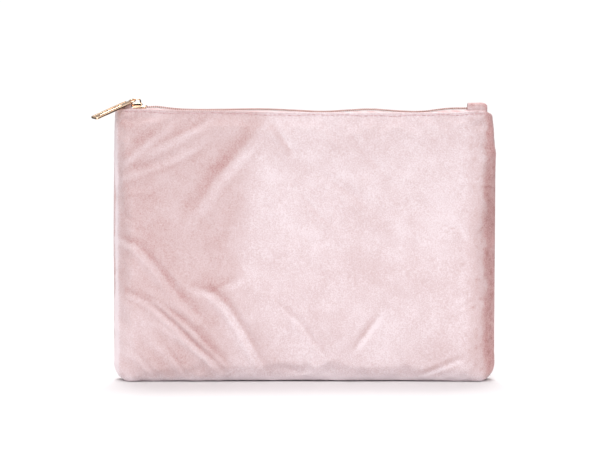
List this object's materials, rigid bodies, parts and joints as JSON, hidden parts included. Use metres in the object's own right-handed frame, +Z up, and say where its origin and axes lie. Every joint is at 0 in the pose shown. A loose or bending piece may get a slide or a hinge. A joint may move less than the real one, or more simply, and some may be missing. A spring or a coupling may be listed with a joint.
{
  "type": "zippered pouch",
  "caption": "Flat velvet pouch with rounded bottom corners, a coil zip along its top edge, a gold slider with a bar puller, and a fabric tab over the zip's end.",
  "frame": {"origin": "middle of the bottom seam, on the surface that the pouch stands on", "axes": "+X along the zip from its closed end to its open end, -Y the front, +Z up"},
  "size_m": [0.2539, 0.0345, 0.1789],
  "materials": {
    "blush_velvet": "crushed velvet, soft sheen",
    "pink_lining": "plain woven polyester",
    "white_wadding": "soft wadding",
    "rose_zip_tape": "herringbone woven tape",
    "rose_nylon_coil": "semi-gloss nylon",
    "rose_thread": "spun polyester thread",
    "light_gold": "polished light gold plating"
  },
  "bodies": {
    "root": {"front_outer_panel": "blush_velvet", "front_interlining": "white_wadding", "front_lining": "pink_lining", "back_outer_panel": "blush_velvet", "back_interlining": "white_wadding", "back_lining": "pink_lining", "perimeter_seam": "blush_velvet", "front_zip_tape": "rose_zip_tape", "front_zip_coil": "rose_nylon_coil", "top_stop_front": "rose_nylon_coil", "top_stop_back": "rose_nylon_coil", "bottom_stop": "rose_nylon_coil", "zip_end_tab": "blush_velvet", "folded_tape_end": "rose_zip_tape", "front_topstitching": "rose_thread"},
    "back_lip": {"back_outer_panel_mouth": "blush_velvet", "back_interlining_mouth": "white_wadding", "back_lining_mouth": "pink_lining", "back_zip_tape": "rose_zip_tape", "back_zip_coil": "rose_nylon_coil", "back_topstitching": "rose_thread"},
    "slider": {"slider_body": "light_gold", "slider_bail": "light_gold"},
    "puller": {"puller": "light_gold"}
  },
  "joints": [
    {"name": "slider_slide", "type": "slide", "parent": "root", "child": "slider", "axis": [1, 0, 0], "range_m": [0, 0.195], "deforming": ["front_zip_tape", "front_zip_coil", "back_zip_tape", "back_zip_coil"]},
    {"name": "mouth_open", "type": "hinge", "parent": "root", "child": "back_lip", "pos_m": [0, 0.0135, 0.04], "axis": [-1, 0, 0], "range_deg": [0, 12]},
    {"name": "puller_flip", "type": "hinge", "parent": "slider", "child": "puller", "pos_m": [-0.1058, 0, 0.1758], "axis": [0, 1, 0], "range_deg": [0, 180]}
  ],
  "couplings": [
    {"joint": "mouth_open", "follows": "slider_slide", "rad_per_m": 1.074}
  ]
}
